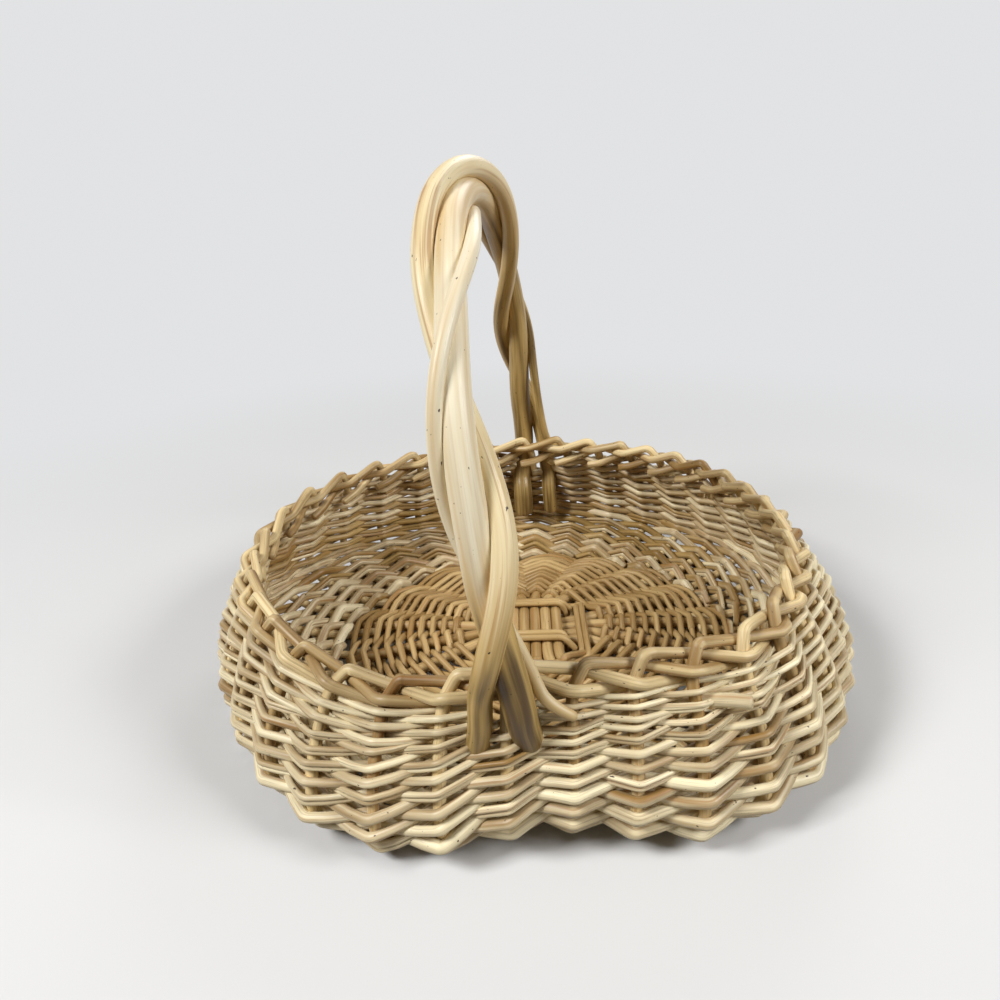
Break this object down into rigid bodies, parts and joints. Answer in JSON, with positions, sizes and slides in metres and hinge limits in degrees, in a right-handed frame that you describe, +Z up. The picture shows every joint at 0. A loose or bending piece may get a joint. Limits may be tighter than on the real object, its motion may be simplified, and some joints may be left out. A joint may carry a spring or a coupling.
{
  "type": "gathering basket",
  "caption": "Shallow oval gathering basket of peeled willow rods, with a bulging woven side, a plaited border and a fixed bow handle of twisted rods let in under the rim.",
  "frame": {"origin": "centre of the outline seen from above, at the level the basket stands on", "axes": "+X to the right along the long side of the oval, +Y away from the viewer, the way the bow handle crosses, +Z up"},
  "size_m": [0.3296, 0.2869, 0.2529],
  "materials": {
    "base_willow": "dull peeled willow",
    "stake_willow": "satin peeled willow",
    "weaver_willow": "satin peeled willow",
    "handle_willow": "satin peeled willow"
  },
  "bodies": {
    "root": {"base_stick_front_1": "base_willow", "base_stick_front_2": "base_willow", "base_stick_front_3": "base_willow", "base_stick_front_4": "base_willow", "base_stick_front_5": "base_willow", "base_stick_side_1": "base_willow", "base_stick_side_2": "base_willow", "base_stick_side_3": "base_willow", "base_stick_side_4": "base_willow", "base_binding_a": "base_willow", "base_binding_b": "base_willow", "base_weaver_a": "base_willow", "base_weaver_b": "base_willow", "stake_01": "stake_willow", "stake_02": "stake_willow", "stake_03": "stake_willow", "stake_04": "stake_willow", "stake_05": "stake_willow", "stake_06": "stake_willow", "stake_07": "stake_willow", "stake_08": "stake_willow", "stake_09": "stake_willow", "stake_10": "stake_willow", "stake_11": "stake_willow", "stake_12": "stake_willow", "stake_13": "stake_willow", "stake_14": "stake_willow", "stake_15": "stake_willow", "stake_16": "stake_willow", "stake_17": "stake_willow", "stake_18": "stake_willow", "stake_19": "stake_willow", "stake_20": "stake_willow", "stake_21": "stake_willow", "stake_22": "stake_willow", "stake_23": "stake_willow", "stake_24": "stake_willow", "stake_25": "stake_willow", "stake_26": "stake_willow", "stake_27": "stake_willow", "stake_28": "stake_willow", "stake_29": "stake_willow", "stake_30": "stake_willow", "stake_31": "stake_willow", "stake_32": "stake_willow", "stake_33": "stake_willow", "stake_34": "stake_willow", "stake_35": "stake_willow", "stake_36": "stake_willow", "side_weaver_lower_a": "weaver_willow", "side_weaver_lower_b": "weaver_willow", "side_weaver_upper_a": "weaver_willow", "side_weaver_upper_b": "weaver_willow", "packing_weaver_right": "weaver_willow", "packing_weaver_left": "weaver_willow", "handle_rod_streaked": "handle_willow", "handle_rod_broad": "handle_willow", "handle_rod_thin": "handle_willow"}
  },
  "joints": []
}
